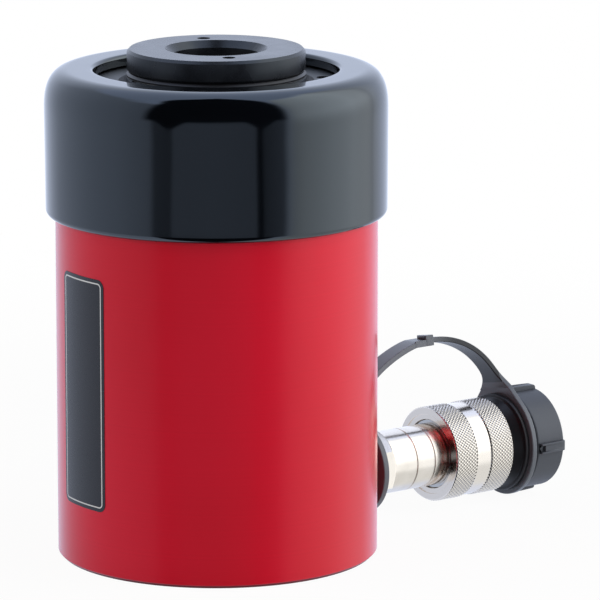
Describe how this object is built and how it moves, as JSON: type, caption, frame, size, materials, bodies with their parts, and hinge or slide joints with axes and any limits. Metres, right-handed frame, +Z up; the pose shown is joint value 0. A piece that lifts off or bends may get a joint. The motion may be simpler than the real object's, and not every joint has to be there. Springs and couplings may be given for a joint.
{
  "type": "hollow plunger hydraulic cylinder",
  "caption": "Single-acting hydraulic cylinder with a hollow plunger and clear centre hole, spring return, threaded collar under a slip-on protector, and a capped quick coupler on its oil port.",
  "frame": {"origin": "centre of the base face, on the axis of the clear centre hole", "axes": "+Z up along the plunger, the way it lifts; +X along the oil port and its coupler"},
  "size_m": [0.2071, 0.1216, 0.1816],
  "materials": {
    "red_paint": "gloss enamel over turned steel",
    "black_vinyl": "glossy soft vinyl",
    "dark_steel": "turned and blackened",
    "black_rubber": "moulded seal rubber",
    "bearing_composite": "fabric-filled bearing strip",
    "tube_steel": "ground steel",
    "hard_chrome": "ground and hard chromed",
    "black_oxide": "satin black oxide",
    "seal_polymer": "moulded seal polymer",
    "backup_polymer": "machined ring",
    "spring_steel": "oiled spring wire",
    "nickel_plate": "turned and nickel plated",
    "knurled_nickel": "knurled and nickel plated",
    "guide_brass": "turned brass",
    "grey_plastic": "moulded slate grey",
    "grey_strap": "flexible slate grey"
  },
  "bodies": {
    "cylinder": {"cylinder_body": "red_paint", "gland_nut": "dark_steel", "wiper_ring": "black_rubber", "gland_wear_ring": "bearing_composite", "centre_tube": "tube_steel", "tube_oring": "black_rubber", "tube_clip": "spring_steel", "return_spring": "spring_steel", "coupler_body": "nickel_plate", "collar_snap_ring": "spring_steel", "valve_guide": "guide_brass", "poppet_spring": "spring_steel", "coupler_oring": "black_rubber", "strap_buckle": "grey_plastic", "neck_strap": "grey_strap"},
    "plunger": {"plunger": "hard_chrome", "saddle": "black_oxide", "piston_seal": "seal_polymer", "piston_backup_ring": "backup_polymer", "piston_wear_ring": "bearing_composite", "tube_seal": "seal_polymer", "tube_backup_ring": "backup_polymer", "tube_wear_ring": "bearing_composite"},
    "thread_protector": {"thread_protector": "black_vinyl"},
    "coupler_collar": {"coupler_collar": "knurled_nickel"},
    "coupler_valve": {"valve_poppet": "tube_steel"},
    "cap_carrier": {"cap_strap": "grey_strap"},
    "dust_cap": {"dust_cap": "grey_plastic"}
  },
  "joints": [
    {"name": "plunger_lift", "type": "slide", "parent": "cylinder", "child": "plunger", "axis": [0, 0, 1], "range_m": [0, 0.0635], "stiffness_N_per_m": 3000, "springref_m": -0.03, "deforming": ["return_spring"]},
    {"name": "protector_lift", "type": "slide", "parent": "cylinder", "child": "thread_protector", "axis": [0, 0, 1], "range_m": [0, 0.12]},
    {"name": "collar_spin", "type": "hinge", "parent": "cylinder", "child": "coupler_collar", "pos_m": [0.11, 0, 0.0208], "axis": [1, 0, 0], "continuous": true},
    {"name": "valve_push", "type": "slide", "parent": "cylinder", "child": "coupler_valve", "axis": [-1, 0, 0], "range_m": [0, 0.003], "stiffness_N_per_m": 1500, "springref_m": -0.004, "deforming": ["poppet_spring"]},
    {"name": "dust_cap_draw", "type": "slide", "parent": "cylinder", "child": "cap_carrier", "axis": [1, 0, 0], "range_m": [0, 0.0082], "deforming": ["cap_strap"]},
    {"name": "dust_cap_turn", "type": "hinge", "parent": "cap_carrier", "child": "dust_cap", "pos_m": [0.14, 0, 0.0208], "axis": [1, 0, 0], "range_deg": [0, 1620]}
  ],
  "couplings": [
    {"joint": "dust_cap_draw", "follows": "dust_cap_turn", "m_per_rad": 0.00028871}
  ]
}
